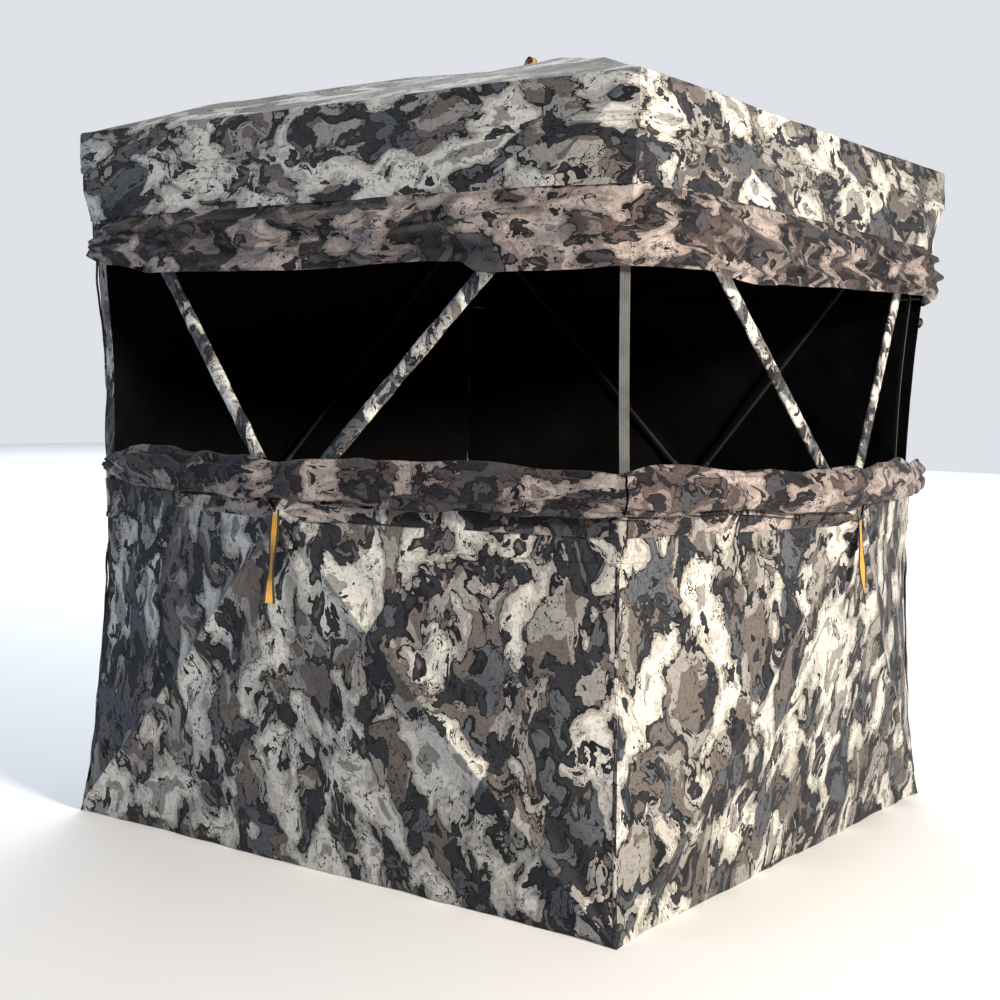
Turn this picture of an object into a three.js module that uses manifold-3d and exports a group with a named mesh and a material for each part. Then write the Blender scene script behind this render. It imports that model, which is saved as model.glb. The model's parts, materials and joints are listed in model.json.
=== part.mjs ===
// A hub style pop up ground blind: five spring hubs, twenty rods, a camouflage cloth cover with
// a wide window band on three sides, and a triangular zip door on the fourth.
// Millimetres, +Z up, origin on the ground at the middle of the square plan.
// The front wall faces -Y, the right wall +X, the back wall +Y and the left wall -X.
import * as THREE from 'three';
import { mergeVertices } from 'three/addons/utils/BufferGeometryUtils.js';
import Module from 'manifold-3d';

const wasm = await Module();
wasm.setup();

// ---- driving dimensions ----
const EAVE = 1700; // height of the four roof corners
const HALF_BASE = 792; // half of the plan's width on the ground
const HALF_TOP = 800; // half of the plan's width at the eave
const WAIST_PULL = 44; // how far the corner lines pull in at mid height
const HUB_Z = 818; // height of the wall hubs
const HUB_OUT = 932; // how far the wall cloth stands from the middle at its hub
const ROOF_RISE = 224; // the roof's tip above the eave
const ROOF_BOW = 22; // how far the bowed rods lift the roof between hub and eave

const CLOTH = 2.5;
const SILL = 848; // top edge of the lower walls
const WINDOW_TOP = 1320; // lower edge of the gathered window drape
const DRAPE_TOP = 1488;
const BAND_LOW = 1490;
const BAND_TOP = 1696;
const DRAPE_DEPTH = 14;
const BAND_SEAM = 1610; // the lapped seam half way up the band
const DRAPE_FOLD = 1400; // the drape's middle fold
const SEAM_GAP = 1.2; // kept between neighbouring cloth panels

const ROLL_Z = 885; // centre of the lowered curtains
const ROLL_HALF_HEIGHT = 54;
const ROLL_HALF_DEPTH = 18;
const ROLL_BACK = 5; // from the cloth to the back of a lowered curtain
const ROLL_END = 0.965; // share of the half width that a curtain reaches
const HEM_DROP = 20; // centre of the back curtain's rolled hem below the drape
const HEM_HALF_HEIGHT = 14;
const HEM_HALF_DEPTH = 8;
const HEM_BACK = 4;
const CURTAIN_ROWS = [SILL + 4, 960, 1120, WINDOW_TOP - 4];

const DOOR_SHRINK = 0.993; // the flap against its hole
const DOOR_CUT = 0.04; // the flap starts this share of the half width from the hub
const TAPE_Z = HUB_Z + 12;
const TAPE_HALF = 9;
const TAPE_REACH = [-0.96, -0.09]; // the zip's two ends, as shares of the half width
const TAPE_OUT = [4.5, 6]; // the tape's two faces, from the cloth
const SLIDER_U = -0.93;
const SLIDER_BODY = [7, 18, 12];
const SLIDER_TAB = [2.4, 34, 7];
const SLIDER_STAND = 5.5; // the slider's middle above the tape

const HUB_DEPTH = 30; // hub centre behind the cloth
const HUB_RADIUS = 50;
const HUB_HALF = 10;
const HUB_EDGE = 6; // width of the hub's rounded edge
const HUB_CROWN = 16; // radius of its flat middle
const PIVOT_RADIUS = 32; // from the hub's centre to each rod's pin
const PIN_RADIUS = 2;
const EYE_RADIUS = 2.7;
const FERRULE_RADIUS = 8;
const FERRULE_END = 58; // from a rod's pin to the end of its ferrule
const ROD_RADIUS = 5.5;
const SLOT_WIDTH = 19;

const TIP_IN = 755; // the point where a corner's rods aim, from the middle plane
const TIP_TOP_Z = 1655;
const TIP_BASE_Z = 45;
const ROOF_TIP_Z = 1668; // height where the roof rods aim
const ROOF_HUB_Z = EAVE + ROOF_RISE - HUB_DEPTH;
const WALL_TIP_GAP = 40; // a wall rod's end stops this far short of that point
const ROOF_TIP_GAP = 60;

const STRAP_WIDTH = 25;
const STRAP_THICK = 1.6;
const PULL_LENGTH = 205;
const CORNER_STRAP_SHARE = 0.022; // a corner strap's width, as a share of a wall
const CORNER_STRAP_IN = [-10, -8]; // its two faces, from the cloth

const POCKET_FACE = 12; // the pocket's outer faces inside the corner line
const POCKET_LEG = 64;
const POCKET_THICK = 3;
const POCKET_DROP = 12; // top of an eave pocket below the eave

const COLOURS = {
  camo: 0x5a5650, drape: 0x4a4246, hub: 0x1c1d1f, rod: 0x2a2c2e, ring: 0xa9adb2,
  pull: 0xd08a1c, strap: 0x74767a, pocket: 0x24262a, zip: 0x17181a,
};
const group = new THREE.Group();
const SIDES = ['front', 'right', 'back', 'left'];

function add(name, geometry, colour, roughness = 0.85, metalness = 0) {
  const material = new THREE.MeshStandardMaterial({ color: COLOURS[colour], roughness, metalness });
  const mesh = new THREE.Mesh(geometry, material);
  mesh.name = name;
  group.add(mesh);
  return mesh;
}

// ---- the cloth surface ----

// Distance of a corner line from the middle planes at a height.
function cornerHalf(z) {
  const share = z / EAVE;
  return HALF_BASE + (HALF_TOP - HALF_BASE) * share - WAIST_PULL * Math.sin(Math.PI * share);
}

// How far a height is from the hub's height: 0 at the hub, 1 at the hem or the eave.
function fromHub(z) {
  return z < HUB_Z ? (HUB_Z - z) / HUB_Z : (z - HUB_Z) / (EAVE - HUB_Z);
}

// Distance of the wall cloth from the middle: flat facets that meet over the four rods.
function wallOut(u, z) {
  const low = Math.min(fromHub(z), 1);
  const corner = z < HUB_Z ? HALF_BASE : HALF_TOP;
  const ridge = HUB_OUT + (corner - HUB_OUT) * low;
  const across = Math.abs(u);
  if (across <= low) return ridge;
  return ridge + (cornerHalf(z) - ridge) * (across - low) / (1 - low);
}

// A point of a wall: u runs from -1 to 1 along it, out is measured outwards from the cloth.
function wallPoint(side, u, z, out) {
  const along = u * (cornerHalf(z) + out);
  const point = new THREE.Vector3(along, -wallOut(u, z) - out, z);
  return point.applyAxisAngle(new THREE.Vector3(0, 0, 1), SIDES.indexOf(side) * Math.PI / 2);
}

function roofHeight(x, y) {
  const share = Math.min(Math.max(Math.abs(x), Math.abs(y)) / HALF_TOP, 1);
  return EAVE + ROOF_RISE * (1 - share) + 4 * ROOF_BOW * share * (1 - share);
}

// ---- solids from triangles ----

function closedGeometry(points, faces) {
  let volume = 0;
  for (const [a, b, c] of faces) {
    volume += points[a].dot(new THREE.Vector3().crossVectors(points[b], points[c]));
  }
  const geometry = new THREE.BufferGeometry();
  const coordinates = points.flatMap((p) => [p.x, p.y, p.z]);
  geometry.setAttribute('position', new THREE.Float32BufferAttribute(coordinates, 3));
  geometry.setIndex(faces.flatMap(([a, b, c]) => (volume > 0 ? [a, b, c] : [a, c, b])));
  return geometry;
}

// Triangles over a grid of two parameters. downhill says which way a cell is split.
function gridCells(as, bs, downhill) {
  const cells = [];
  for (let i = 0; i + 1 < as.length; i += 1) {
    for (let j = 0; j + 1 < bs.length; j += 1) {
      const [p, q] = [[as[i], bs[j]], [as[i + 1], bs[j]]];
      const [r, s] = [[as[i + 1], bs[j + 1]], [as[i], bs[j + 1]]];
      if (downhill((as[i] + as[i + 1]) / 2, (bs[j] + bs[j + 1]) / 2)) cells.push([p, q, s], [q, r, s]);
      else cells.push([p, q, r], [p, r, s]);
    }
  }
  return cells;
}

// A sheet with a thickness: place(a, b, face) gives its point on the outer face (1) or inner (0).
function sheetSolid(cells, place) {
  const index = new Map();
  const corners = [];
  const at = ([a, b]) => {
    const key = `${a.toFixed(5)},${b.toFixed(5)}`;
    if (!index.has(key)) {
      index.set(key, corners.length);
      corners.push([a, b]);
    }
    return index.get(key);
  };
  const top = cells.map((cell) => cell.map(at));
  const count = corners.length;
  const points = [1, 0].flatMap((face) => corners.map(([a, b]) => place(a, b, face)));
  const edges = new Set(top.flatMap((t) => t.map((v, k) => `${v}_${t[(k + 1) % 3]}`)));
  const faces = [...top, ...top.map(([a, b, c]) => [a + count, c + count, b + count])];
  for (const t of top) {
    t.forEach((v, k) => {
      const w = t[(k + 1) % 3];
      if (!edges.has(`${w}_${v}`)) faces.push([w, v, v + count], [w, v + count, w + count]);
    });
  }
  return closedGeometry(points, faces);
}

// A solid through a row of closed rings of points.
function ringSolid(rings) {
  const n = rings[0].length;
  const points = rings.flat();
  const faces = [];
  for (let i = 0; i + 1 < rings.length; i += 1) {
    for (let k = 0; k < n; k += 1) {
      const [a, b] = [i * n + k, i * n + (k + 1) % n];
      faces.push([a, b, a + n], [b, b + n, a + n]);
    }
  }
  const last = (rings.length - 1) * n;
  for (let k = 1; k + 1 < n; k += 1) faces.push([0, k + 1, k], [last, last + k, last + k + 1]);
  return closedGeometry(points, faces);
}

function toManifold(geometry) {
  const plain = geometry.clone();
  plain.deleteAttribute('normal');
  plain.deleteAttribute('uv');
  const merged = mergeVertices(plain, 1e-4);
  return new wasm.Manifold(new wasm.Mesh({
    numProp: 3,
    vertProperties: new Float32Array(merged.attributes.position.array),
    triVerts: new Uint32Array(merged.index.array),
  }));
}

function toGeometry(solid) {
  const mesh = solid.getMesh();
  const geometry = new THREE.BufferGeometry();
  geometry.setAttribute('position', new THREE.Float32BufferAttribute(mesh.vertProperties, 3));
  geometry.setIndex(new THREE.Uint32BufferAttribute(mesh.triVerts, 1));
  return geometry;
}

function steps(low, high, count) {
  return Array.from({ length: count + 1 }, (_, i) => low + (high - low) * i / count);
}

// ---- walls ----

const ridgeSplit = (u, z) => (u > 0) === (z < HUB_Z);
const LOWER_ROWS = [...steps(0, HUB_Z, 4), SILL];
const COLUMNS = steps(-1, 1, 8);
// A panel's corner edges keep a seam gap, measured as a share of the half width.
const EDGE = 1 - SEAM_GAP / HALF_BASE;
const clip = (u) => Math.max(-EDGE, Math.min(EDGE, u));

function wallSheet(side, cells, inner = -CLOTH, outer = 0) {
  return sheetSolid(cells, (u, z, face) => wallPoint(side, clip(u), z, face ? outer : inner));
}

for (const side of ['front', 'right', 'back']) {
  add(`${side}_lower_wall`, wallSheet(side, gridCells(COLUMNS, LOWER_ROWS, ridgeSplit)), 'camo');
}

// The door is the left wall's facet between one lower rod, the corner and the hub's height,
// without its narrow tip beside the hub.
const inDoor = (cell) => cell.every(([u, z]) => (
  z <= HUB_Z + 1 && -u >= fromHub(z) - 1e-6 && -u >= DOOR_CUT - 1e-6
));
const LEFT_COLUMNS = [...steps(-1, -0.25, 3), -DOOR_CUT, ...steps(0, 1, 4)];
const LEFT_ROWS = [...steps(0, HUB_Z * 0.75, 3), HUB_Z * (1 - DOOR_CUT), ...steps(HUB_Z, DRAPE_TOP, 4)];
const leftCells = gridCells(LEFT_COLUMNS, LEFT_ROWS, ridgeSplit);
add('left_wall', wallSheet('left', leftCells.filter((cell) => !inDoor(cell))), 'camo');

// The flap is drawn in a little on each edge, towards the middle of its triangle.
const DOOR_MIDDLE = [-2 / 3, HUB_Z * 2 / 3];
const doorPlace = (u, z, face) => {
  const [du, dz] = [u - DOOR_MIDDLE[0], z - DOOR_MIDDLE[1]];
  const [fu, fz] = [DOOR_MIDDLE[0] + du * DOOR_SHRINK, DOOR_MIDDLE[1] + dz * DOOR_SHRINK];
  return wallPoint('left', fu, fz, face ? 0 : -CLOTH);
};
add('door_flap', sheetSolid(leftCells.filter(inDoor), doorPlace), 'camo');

// The zip tape lies over the wall just above the flap, from the hub to the corner.
const tapeCells = gridCells(TAPE_REACH, [TAPE_Z - TAPE_HALF, TAPE_Z + TAPE_HALF], ridgeSplit);
const tapePlace = (u, z, face) => wallPoint('left', u, z, TAPE_OUT[face]);
add('door_zip_tape', sheetSolid(tapeCells, tapePlace), 'zip', 0.6);

// The slider is a small block whose pull tab lies towards the hub, parked at the corner end.
const tab = new THREE.BoxGeometry(...SLIDER_TAB)
  .translate(SLIDER_TAB[0] / 2 + 1.4, SLIDER_TAB[1] / 2 + 3, 0);
const slider = toManifold(new THREE.BoxGeometry(...SLIDER_BODY)).add(toManifold(tab));
const sliderMesh = add('door_zip_slider', toGeometry(slider), 'ring', 0.35, 0.9);
const [tapeStart, tapeEnd] = TAPE_REACH.map((u) => wallPoint('left', u, TAPE_Z, TAPE_OUT[1]));
const tapeWay = tapeEnd.clone().sub(tapeStart).normalize();
const tapeNormal = new THREE.Vector3(-tapeWay.y, tapeWay.x, 0).normalize();
if (tapeNormal.x > 0) tapeNormal.negate();
const upward = new THREE.Vector3(0, 0, 1);
const sliderAcross = new THREE.Vector3().crossVectors(upward, tapeNormal);
const sliderBasis = new THREE.Matrix4().makeBasis(tapeNormal, sliderAcross, upward);
sliderMesh.quaternion.setFromRotationMatrix(sliderBasis);
const sliderSeat = wallPoint('left', SLIDER_U, TAPE_Z, TAPE_OUT[1]);
sliderMesh.position.copy(sliderSeat).addScaledVector(tapeNormal, SLIDER_STAND);

// ---- the band under the eave, the gathered drape and the roof ----

// A strip that runs round several walls; a counts walls from the front one's left corner.
function roundStrip(from, to, heights, inner, outer) {
  const as = steps(from, to, (to - from) * 4);
  const cells = gridCells(as, heights, () => true);
  const closed = to - from === SIDES.length;
  const joined = cells.map((cell) => cell.map(([a, z]) => [closed && a === to ? from : a, z]));
  return sheetSolid(joined, (a, z, face) => {
    const wall = Math.min(Math.floor(a), to - 1);
    return wallPoint(SIDES[wall], 2 * (a - wall) - 1, z, face ? outer : inner);
  });
}

const drapeHeights = [WINDOW_TOP, DRAPE_FOLD, DRAPE_TOP];
add('eave_band', roundStrip(0, 4, [BAND_LOW, BAND_SEAM, BAND_TOP], -CLOTH, 0), 'camo');
add('window_drape', roundStrip(0, 3, drapeHeights, -CLOTH, DRAPE_DEPTH - CLOTH), 'drape');

const roofLines = [-1, -0.5, 0, 0.5, 1].map((share) => share * HALF_TOP);
add('roof_panel', sheetSolid(
  gridCells(roofLines, roofLines, (x, y) => x * y < 0),
  (x, y, face) => new THREE.Vector3(x, y, roofHeight(x, y) - (face ? 0 : CLOTH)),
), 'camo');

// ---- window curtains ----

// A bundle of cloth that follows the wall at one height.
function bundle(side, reach, z, halfHeight, halfDepth, back) {
  const turns = 8;
  return ringSolid(steps(-reach, reach, 8).map((u) => Array.from({ length: turns }, (_, k) => {
    const angle = 2 * Math.PI * k / turns;
    const point = wallPoint(side, u, z, back + halfDepth * (1 + Math.cos(angle)));
    return point.setZ(z + halfHeight * Math.sin(angle));
  })));
}

for (const side of ['front', 'right']) {
  const roll = bundle(side, ROLL_END, ROLL_Z, ROLL_HALF_HEIGHT, ROLL_HALF_DEPTH, ROLL_BACK);
  add(`${side}_curtain_roll`, roll, 'drape');
}
const hemZ = WINDOW_TOP - HEM_DROP;
add('back_curtain_hem', bundle('back', ROLL_END, hemZ, HEM_HALF_HEIGHT, HEM_HALF_DEPTH, HEM_BACK), 'drape');
add('back_curtain', sheetSolid(
  gridCells(steps(-ROLL_END, ROLL_END, 8), CURTAIN_ROWS, ridgeSplit),
  (u, z, face) => wallPoint('back', u, z, face ? 0 : -CLOTH),
), 'drape');

// Webbing that ties the band to the lower walls where two windows meet at a corner.
for (const [name, a] of [['front_right', 1], ['back_right', 2]]) {
  const across = [a - CORNER_STRAP_SHARE / 2, a, a + CORNER_STRAP_SHARE / 2];
  const cells = gridCells(across, steps(SILL + 2, WINDOW_TOP - 3, 3), () => true);
  add(`${name}_corner_strap`, sheetSolid(cells, (p, z, face) => {
    const wall = p < a ? a - 1 : a;
    return wallPoint(SIDES[wall], 2 * (p - wall) - 1, z, CORNER_STRAP_IN[face]);
  }), 'strap');
}

// ---- hubs, rods, rings and pulls ----

// Each rod's place on its hub: the direction of its corner in the hub's plane, and its depth.
function rodAims(side) {
  const roof = side === 'roof';
  const high = roof ? TIP_IN : TIP_TOP_Z - HUB_Z;
  const low = roof ? -TIP_IN : TIP_BASE_Z - HUB_Z;
  const depth = roof ? ROOF_HUB_Z - ROOF_TIP_Z : HUB_OUT - HUB_DEPTH - TIP_IN;
  const names = roof
    ? ['back_right', 'back_left', 'front_left', 'front_right']
    : ['upper_right', 'upper_left', 'lower_left', 'lower_right'];
  const corners = [[TIP_IN, high], [-TIP_IN, high], [-TIP_IN, low], [TIP_IN, low]];
  return corners.map(([u, v], k) => (
    { name: names[k], angle: Math.atan2(v, u), reach: Math.hypot(u, v), depth }
  ));
}

function along(angle, radius, z = 0) {
  return new THREE.Vector3(radius * Math.cos(angle), radius * Math.sin(angle), z);
}

// The ends of the ring's four straight pins: each pin is square to its rod.
function pinSpans(aims) {
  const count = aims.length;
  const corners = aims.map((aim, k) => {
    const turn = (aims[(k + 1) % count].angle - aim.angle + 2 * Math.PI) % (2 * Math.PI);
    return along(aim.angle + turn / 2, PIVOT_RADIUS / Math.cos(turn / 2));
  });
  return aims.map((aim, k) => [corners[(k + count - 1) % count], corners[k]]);
}

// The ring is one bent wire: four straight pins joined at round corners.
function ringGeometry(aims) {
  const up = new THREE.Vector3(0, 1, 0);
  const pieces = pinSpans(aims).map(([from, to]) => {
    const span = to.clone().sub(from);
    const middle = to.clone().add(from).multiplyScalar(0.5);
    const pin = new THREE.CylinderGeometry(PIN_RADIUS, PIN_RADIUS, span.length(), 8);
    pin.applyQuaternion(new THREE.Quaternion().setFromUnitVectors(up, span.normalize()));
    const ball = new THREE.SphereGeometry(PIN_RADIUS * 1.02, 8, 4).translate(to.x, to.y, 0);
    return toManifold(pin.translate(middle.x, middle.y, 0)).add(toManifold(ball));
  });
  return toGeometry(pieces.reduce((whole, piece) => whole.add(piece)));
}

// The hub: a moulded disc with a raised rim, four open slots for the rods, and a groove
// from its back that the ring drops into.
function hubGeometry(aims) {
  const profile = [[0, -HUB_HALF], [HUB_RADIUS - HUB_EDGE, -HUB_HALF], [HUB_RADIUS, HUB_EDGE - HUB_HALF],
    [HUB_RADIUS, HUB_HALF - HUB_EDGE], [HUB_RADIUS - HUB_EDGE, HUB_HALF - 1],
    [HUB_CROWN, HUB_HALF], [0, HUB_HALF]];
  const outline = profile.map(([r, h]) => new THREE.Vector2(r, h));
  const disc = new THREE.LatheGeometry(outline, 24).rotateX(Math.PI / 2);
  let solid = toManifold(disc);
  for (const aim of aims) {
    const slot = new THREE.BoxGeometry(HUB_RADIUS, SLOT_WIDTH, 4 * HUB_HALF)
      .translate(PIVOT_RADIUS - FERRULE_RADIUS - 3 + HUB_RADIUS / 2, 0, 0).rotateZ(aim.angle);
    solid = solid.subtract(toManifold(slot));
  }
  const half = PIN_RADIUS + 0.4;
  for (const [from, to] of pinSpans(aims)) {
    const span = to.clone().sub(from);
    const groove = new THREE.BoxGeometry(span.length() + 2 * half, 2 * half, HUB_HALF + 1 + half)
      .translate(0, 0, (half - HUB_HALF - 1) / 2).rotateZ(Math.atan2(span.y, span.x))
      .translate((from.x + to.x) / 2, (from.y + to.y) / 2, 0);
    solid = solid.subtract(toManifold(groove));
  }
  return toGeometry(solid);
}

// A rod: a ferrule with the eye at its hub end, the glass fibre rod and a ball end.
function rodGeometry(length) {
  const profile = [[0, -FERRULE_RADIUS], [FERRULE_RADIUS, -FERRULE_RADIUS + 1.5],
    [FERRULE_RADIUS, FERRULE_END], [ROD_RADIUS, FERRULE_END + 4],
    [ROD_RADIUS, length - 17], [FERRULE_RADIUS, length - 13], [FERRULE_RADIUS, length - 4], [0, length]];
  const outline = profile.map(([r, h]) => new THREE.Vector2(r, h));
  const rod = new THREE.LatheGeometry(outline, 8).rotateZ(-Math.PI / 2);
  const bore = new THREE.CylinderGeometry(EYE_RADIUS, EYE_RADIUS, 4 * FERRULE_RADIUS, 8);
  return toGeometry(toManifold(rod).subtract(toManifold(bore)));
}

function hubFrame(side) {
  if (side === 'roof') return new THREE.Matrix4().makeTranslation(0, 0, ROOF_HUB_Z);
  const turn = SIDES.indexOf(side) * Math.PI / 2;
  const outward = new THREE.Vector3(Math.sin(turn), -Math.cos(turn), 0);
  const across = new THREE.Vector3(Math.cos(turn), Math.sin(turn), 0);
  const basis = new THREE.Matrix4().makeBasis(across, new THREE.Vector3(0, 0, 1), outward);
  return basis.setPosition(outward.clone().multiplyScalar(HUB_OUT - HUB_DEPTH).setZ(HUB_Z));
}

// The outline of a pull in the plane of its hub's axis: [sideways or down, outwards] from the cloth.
function pullLine(side) {
  if (side !== 'roof') {
    return [[-6, 3], [0, 4], [PULL_LENGTH * 0.5, 15], [PULL_LENGTH, 24]];
  }
  const onRoof = (x) => roofHeight(x, 0) - (EAVE + ROOF_RISE) + 5;
  const lying = [30, 70, 110, 150, 190].map((x) => [x, onRoof(x)]);
  return [[0, 4], [1, 24], [9, 29], [18, 22], ...lying];
}

// A flat strap along that outline. The roof's pull lies towards the left wall.
function pullGeometry(side) {
  const line = pullLine(side);
  const count = line.length;
  const normals = line.map((_, k) => {
    const [a, b] = [line[Math.max(k - 1, 0)], line[Math.min(k + 1, count - 1)]];
    return new THREE.Vector2(-(b[1] - a[1]), b[0] - a[0]).normalize();
  });
  const edges = [-STRAP_WIDTH / 2, STRAP_WIDTH / 2];
  const cells = gridCells(edges, steps(0, count - 1, count - 1), () => true);
  return sheetSolid(cells, (across, k, face) => {
    const index = Math.round(k);
    const shift = face ? STRAP_THICK : 0;
    const way = line[index][0] + normals[index].x * shift;
    const out = line[index][1] + normals[index].y * shift;
    return side === 'roof'
      ? new THREE.Vector3(-way, across, out + HUB_DEPTH)
      : new THREE.Vector3(across, -way, out + HUB_DEPTH);
  });
}

for (const side of [...SIDES, 'roof']) {
  const aims = rodAims(side);
  const frame = hubFrame(side);
  const place = (mesh) => frame.decompose(mesh.position, mesh.quaternion, mesh.scale);
  place(add(`${side}_hub`, hubGeometry(aims), 'hub', 0.5));
  place(add(`${side}_pivot_ring`, ringGeometry(aims), 'ring', 0.3, 0.9));
  place(add(`${side}_pull_strap`, pullGeometry(side), 'pull', 0.8));
  for (const aim of aims) {
    const flat = aim.reach - PIVOT_RADIUS;
    const gap = side === 'roof' ? ROOF_TIP_GAP : WALL_TIP_GAP;
    const tilt = Math.atan2(aim.depth, flat);
    const rod = add(`${side}_rod_${aim.name}`, rodGeometry(Math.hypot(flat, aim.depth) - gap), 'rod', 0.4);
    const seat = new THREE.Matrix4().makeRotationZ(aim.angle).setPosition(along(aim.angle, PIVOT_RADIUS));
    // The eye lies along the rod's own Y, so a tilt about Y keeps it on the ring.
    const world = frame.clone().multiply(seat).multiply(new THREE.Matrix4().makeRotationY(tilt));
    world.decompose(rod.position, rod.quaternion, rod.scale);
  }
}

// ---- corner pockets ----

// Two upright leaves of webbing, and a triangular foot: the base pocket's rests on the ground.
function pocketGeometry(base) {
  const height = POCKET_LEG - 4;
  const leaf = () => new THREE.BoxGeometry(POCKET_LEG, POCKET_THICK, height);
  const first = leaf().translate(-POCKET_LEG / 2, -POCKET_THICK / 2, height / 2);
  const second = leaf().rotateZ(Math.PI / 2).translate(-POCKET_THICK / 2, -POCKET_LEG / 2, height / 2);
  const outline = [[0, 0], [-POCKET_LEG, 0], [0, -POCKET_LEG]].map(([x, y]) => new THREE.Vector2(x, y));
  const settings = { depth: POCKET_THICK, bevelEnabled: false };
  const plate = new THREE.ExtrudeGeometry(new THREE.Shape(outline), settings);
  plate.translate(0, 0, base ? 0 : height - 1);
  return toGeometry(toManifold(first).add(toManifold(second)).add(toManifold(plate)));
}

const CORNERS = [['back_right', 0], ['back_left', 1], ['front_left', 2], ['front_right', 3]];
for (const [name, turns] of CORNERS) {
  const eaveZ = EAVE - POCKET_DROP - POCKET_LEG;
  for (const [level, half, z] of [['base', HALF_BASE, 0], ['eave', HALF_TOP, eaveZ]]) {
    const pocket = add(`${name}_${level}_pocket`, pocketGeometry(level === 'base'), 'pocket');
    const reach = half - POCKET_FACE;
    pocket.position.set(reach, reach, z).applyAxisAngle(new THREE.Vector3(0, 0, 1), turns * Math.PI / 2);
    pocket.rotation.z = turns * Math.PI / 2;
  }
}

export default group;
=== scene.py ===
# %% [markdown]
# A pop up ground blind in field cloth: sprung hubs push a square cloth cover tight, a window band runs
# round three walls, and the fourth wall has the door. The frame of hubs and rods comes from the CAD
# model, and Blender makes the cloth, the webbing and every finish around it.

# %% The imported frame
import json
import math

import bpy
from mathutils import Matrix, Vector, noise

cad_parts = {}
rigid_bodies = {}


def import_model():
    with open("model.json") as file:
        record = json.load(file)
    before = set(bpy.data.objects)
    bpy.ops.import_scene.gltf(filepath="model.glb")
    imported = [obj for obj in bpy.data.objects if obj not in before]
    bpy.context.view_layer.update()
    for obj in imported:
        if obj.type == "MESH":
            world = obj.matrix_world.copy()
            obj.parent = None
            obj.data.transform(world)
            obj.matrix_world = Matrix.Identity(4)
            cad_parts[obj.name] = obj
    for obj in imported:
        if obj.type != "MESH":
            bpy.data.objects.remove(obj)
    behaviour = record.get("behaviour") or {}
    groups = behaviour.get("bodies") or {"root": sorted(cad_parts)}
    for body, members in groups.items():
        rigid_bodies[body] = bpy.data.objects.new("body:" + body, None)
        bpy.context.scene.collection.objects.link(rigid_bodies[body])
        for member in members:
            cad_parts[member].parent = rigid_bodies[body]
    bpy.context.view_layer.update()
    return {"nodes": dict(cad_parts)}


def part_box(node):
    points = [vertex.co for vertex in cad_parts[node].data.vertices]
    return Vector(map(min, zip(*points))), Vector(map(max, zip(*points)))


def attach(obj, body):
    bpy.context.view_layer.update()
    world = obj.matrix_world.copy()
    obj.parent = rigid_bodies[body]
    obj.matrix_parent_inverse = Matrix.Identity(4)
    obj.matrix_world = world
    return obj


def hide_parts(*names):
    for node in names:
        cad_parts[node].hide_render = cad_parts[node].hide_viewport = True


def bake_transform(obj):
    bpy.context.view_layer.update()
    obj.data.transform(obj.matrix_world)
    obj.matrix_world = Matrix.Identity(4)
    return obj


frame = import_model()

# %% [markdown]
# The camera stands a little under the eave, in front of the near corner, so that the wide front wall
# and the narrower right wall both show. Its lens is a short portrait one, and it leans very slightly,
# as a camera held in the hands does.

# %% Camera
EYE = Vector((2.361, -3.395, 1.075))
HEADING = math.radians(35.70)
PITCH = math.radians(-3.77)
LEAN = math.radians(1.26)
LENS_MM = 56.65

camera_data = bpy.data.cameras.new("camera")
camera_data.lens = LENS_MM
camera = bpy.data.objects.new("camera", camera_data)
bpy.context.collection.objects.link(camera)
look = Matrix.Rotation(HEADING, 4, "Z") @ Matrix.Rotation(math.pi / 2 + PITCH, 4, "X")
camera.matrix_world = Matrix.Translation(EYE) @ look @ Matrix.Rotation(LEAN, 4, "Z")
bpy.context.scene.camera = camera
print("camera:", round(EYE.length, 2), "m from the middle of the floor,", LENS_MM, "mm lens")

# %% [markdown]
# The cover hangs on a simple shape. Every wall is four flat facets that meet over the four rods, with
# the hub at their top, and the corner lines pull in at mid height. All the cloth is laid on this one
# surface, so neighbouring panels meet without being measured against each other.

# %% The surface that the cloth lies on
SIDES = ("front", "right", "back", "left")      # each is the front turned a quarter further
EAVE = 1.700
HALF_BASE = 0.792
HALF_TOP = 0.800
WAIST_PULL = 0.044      # how far the corner lines pull in at mid height
hub_low, hub_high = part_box("front_hub")
HUB_Z = (hub_low[2] + hub_high[2]) / 2
HUB_OUT = 0.932
ZIP_Z = HUB_Z + 0.012
ROOF_RISE = 0.224
ROOF_BOW = 0.022        # how far the roof rods bow up between the hub and the corners
SILL = 0.848
DRAPE_TOP = 1.488
BAND_LOW = 1.490
BAND_SEAM = 1.610
LOW_SEAM = 0.757
print("hub height:", round(HUB_Z, 4), "eave:", EAVE, "sill:", SILL)


def turned(side):
    return Matrix.Rotation(SIDES.index(side) * math.pi / 2, 3, "Z")


def corner_half(z):
    share = z / EAVE
    return HALF_BASE + (HALF_TOP - HALF_BASE) * share - WAIST_PULL * math.sin(math.pi * share)


def from_hub(z):
    """0 at the hub's height, 1 at the hem or at the eave."""
    share = (HUB_Z - z) / HUB_Z if z < HUB_Z else (z - HUB_Z) / (EAVE - HUB_Z)
    return min(max(share, 0.0), 1.0)


def wall_out(u, z):
    low = from_hub(z)
    corner = HALF_BASE if z < HUB_Z else HALF_TOP
    ridge = HUB_OUT + (corner - HUB_OUT) * low
    across = abs(u)
    if across <= low or low >= 1.0:
        return ridge
    return ridge + (corner_half(z) - ridge) * (across - low) / (1 - low)


def wall_point(side, u, z, out=0.0):
    """u runs from -1 to 1 along a wall as seen from outside, out is measured outwards."""
    half = corner_half(z) + out
    return turned(side) @ Vector((u * half, -wall_out(u, z) - out, z))


def wander(point, size, shift=0.0):
    """Smooth noise from about -1 to 1 whose lumps are about size metres across."""
    return noise.noise(Vector((point.x / size + shift, point.y / size, point.z / size)))


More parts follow.
